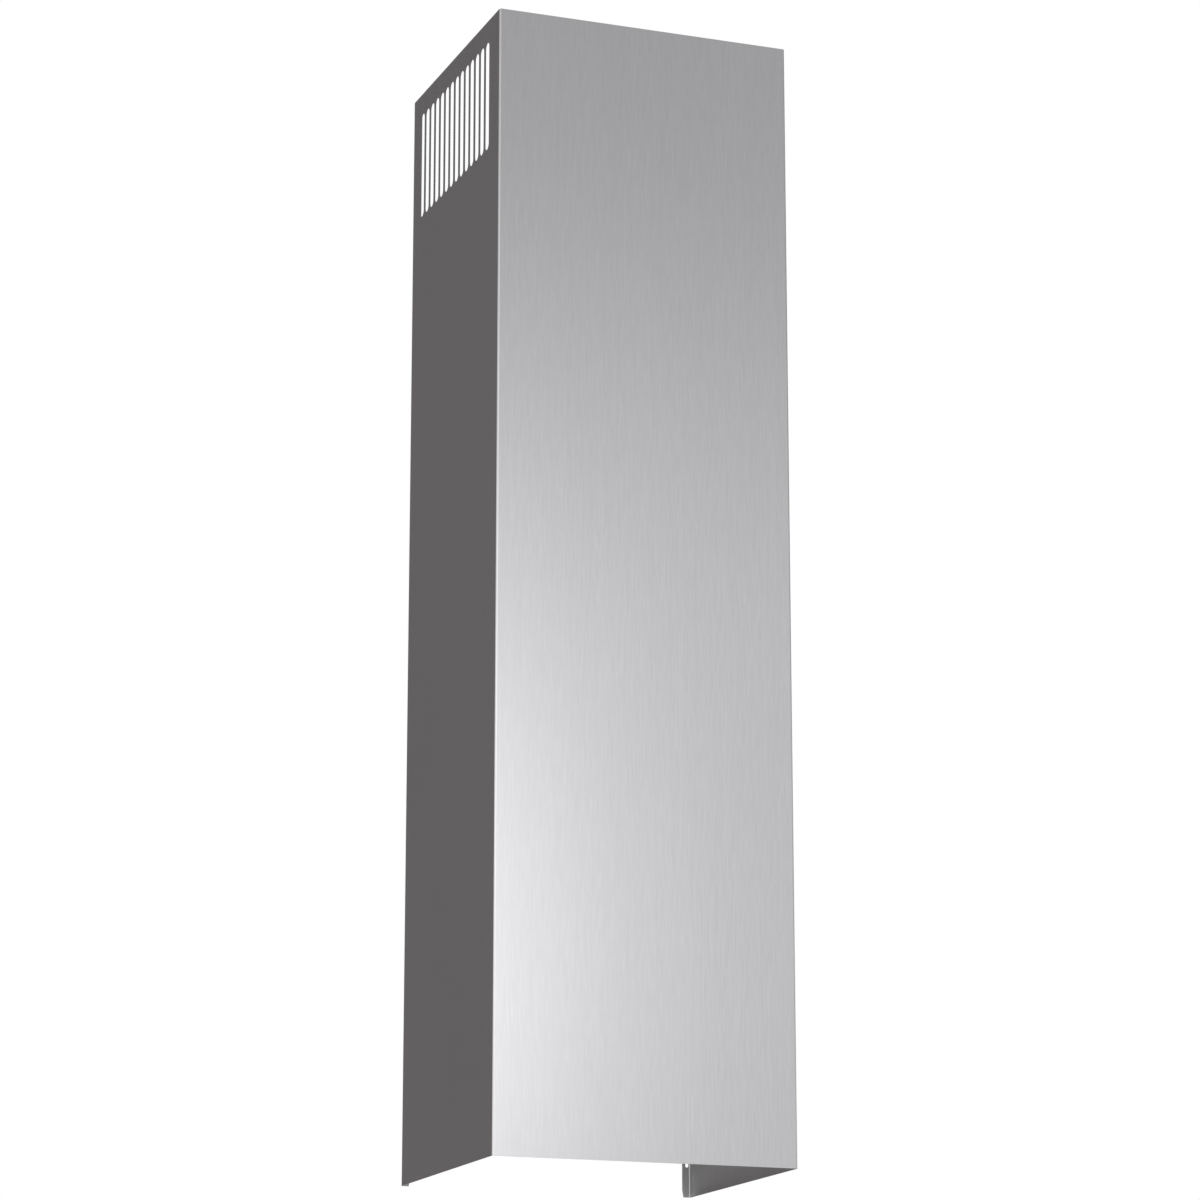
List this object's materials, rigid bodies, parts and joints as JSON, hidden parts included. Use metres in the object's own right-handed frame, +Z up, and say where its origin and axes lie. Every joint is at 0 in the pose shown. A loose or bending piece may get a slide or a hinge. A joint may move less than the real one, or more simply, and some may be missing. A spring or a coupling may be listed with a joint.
{
  "type": "cooker hood chimney section",
  "caption": "Tall folded brushed-steel cover for a cooker hood's duct, open at the wall side, with upright vent slots near the top of its sides and narrow slotted rear flanges.",
  "frame": {"origin": "middle of the bottom edge's plane, under the middle of the section's outer box", "axes": "+Z up along the section, -Y out of the front face, +Y towards the wall, +X to the right seen from the front"},
  "size_m": [0.27, 0.242, 1],
  "materials": {
    "brushed_sheet": "fine brushing along the height, clean cut edges"
  },
  "bodies": {
    "root": {"chimney_cover": "brushed_sheet"}
  },
  "joints": []
}
